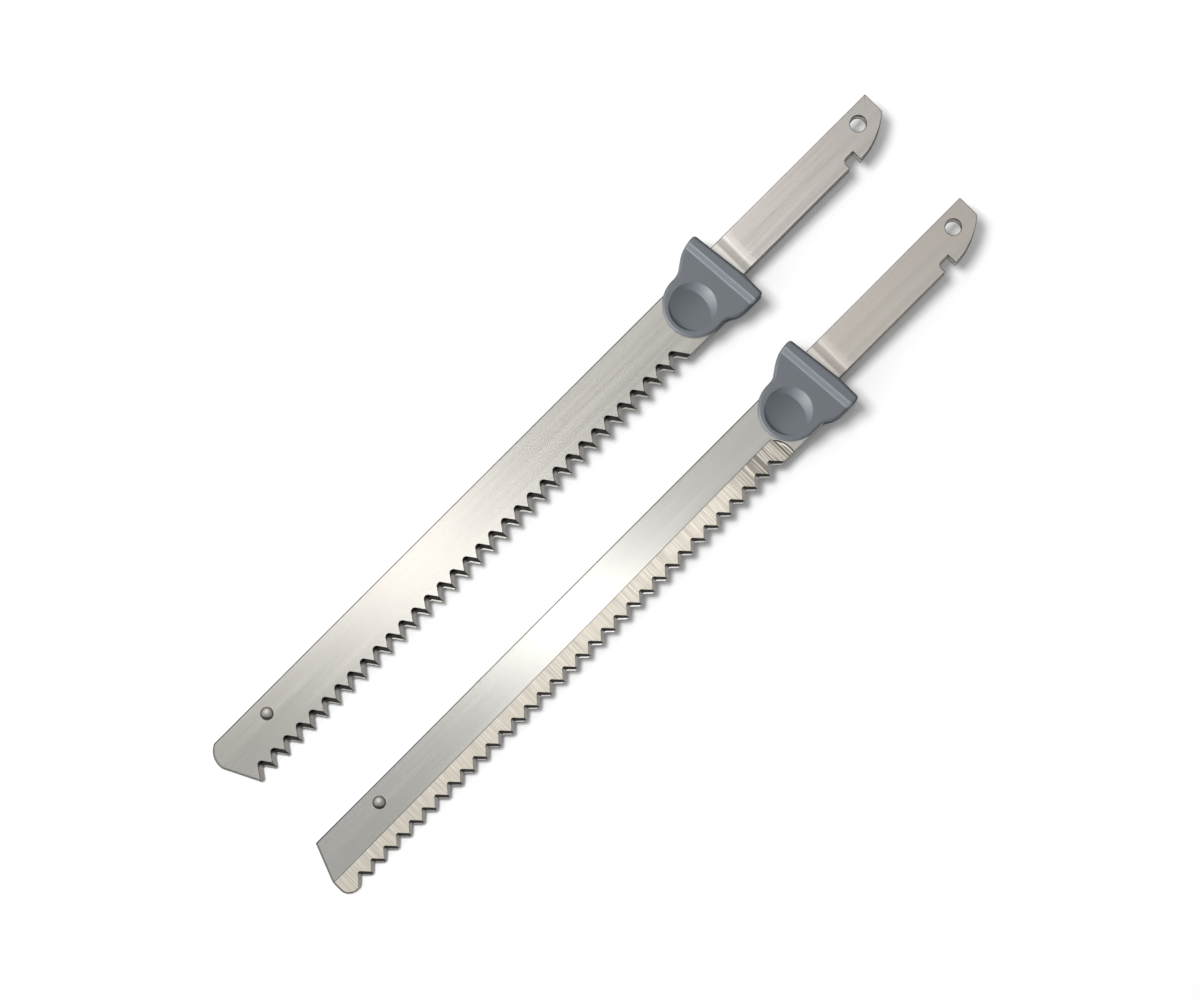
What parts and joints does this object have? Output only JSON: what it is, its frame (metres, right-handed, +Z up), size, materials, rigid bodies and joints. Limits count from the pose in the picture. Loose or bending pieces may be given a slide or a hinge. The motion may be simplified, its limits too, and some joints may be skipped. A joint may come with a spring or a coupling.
{
  "type": "electric knife blade set",
  "caption": "Long mated steel blade pairs with scalloped edges, joined by a tip rivet, each blade with a moulded thumb guard and a drive tang.",
  "frame": {"origin": "middle of the whole set, on the surface that it lies on", "axes": "+X along the blades from the tips to the tangs, +Y towards the spines, +Z up from the surface"},
  "size_m": [0.3263, 0.0807, 0.0172],
  "materials": {
    "bread_steel": "satin, brushed along the blade",
    "carving_steel": "satin, with a cross-ground bevel",
    "rivet_steel": "polished dome",
    "guard_plastic": "satin moulded slate grey"
  },
  "bodies": {
    "bread_rear": {"bread_rear_blade": "bread_steel", "bread_rear_guard": "guard_plastic"},
    "bread_rivet": {"bread_tip_rivet": "rivet_steel"},
    "bread_front": {"bread_front_blade": "bread_steel", "bread_front_guard": "guard_plastic"},
    "carving_rear": {"carving_rear_blade": "carving_steel", "carving_rear_guard": "guard_plastic"},
    "carving_rivet": {"carving_tip_rivet": "rivet_steel"},
    "carving_front": {"carving_front_blade": "carving_steel", "carving_front_guard": "guard_plastic"}
  },
  "joints": [
    {"name": "bread_slide", "type": "slide", "parent": "bread_rear", "child": "bread_rivet", "axis": [0.9995, -0.0021, 0.03], "range_m": [-0.0066, 0.0094]},
    {"name": "bread_swing", "type": "hinge", "parent": "bread_rivet", "child": "bread_front", "pos_m": [-0.13727, 0.0279, 0.00195], "axis": [-0.03, 0, 0.9996], "range_deg": [0, 30]},
    {"name": "carving_slide", "type": "slide", "parent": "carving_rear", "child": "carving_rivet", "axis": [0.9995, 0.0016, 0.0308], "range_m": [-0.0066, 0.0094]},
    {"name": "carving_swing", "type": "hinge", "parent": "carving_rivet", "child": "carving_front", "pos_m": [-0.13134, -0.02199, 0.00201], "axis": [-0.0308, 0, 0.9995], "range_deg": [-30, 0]},
    {"name": "carving_lift", "type": "slide", "parent": "bread_rear", "child": "carving_rear", "axis": [0, 0, 1], "range_m": [0, 0.06]}
  ]
}
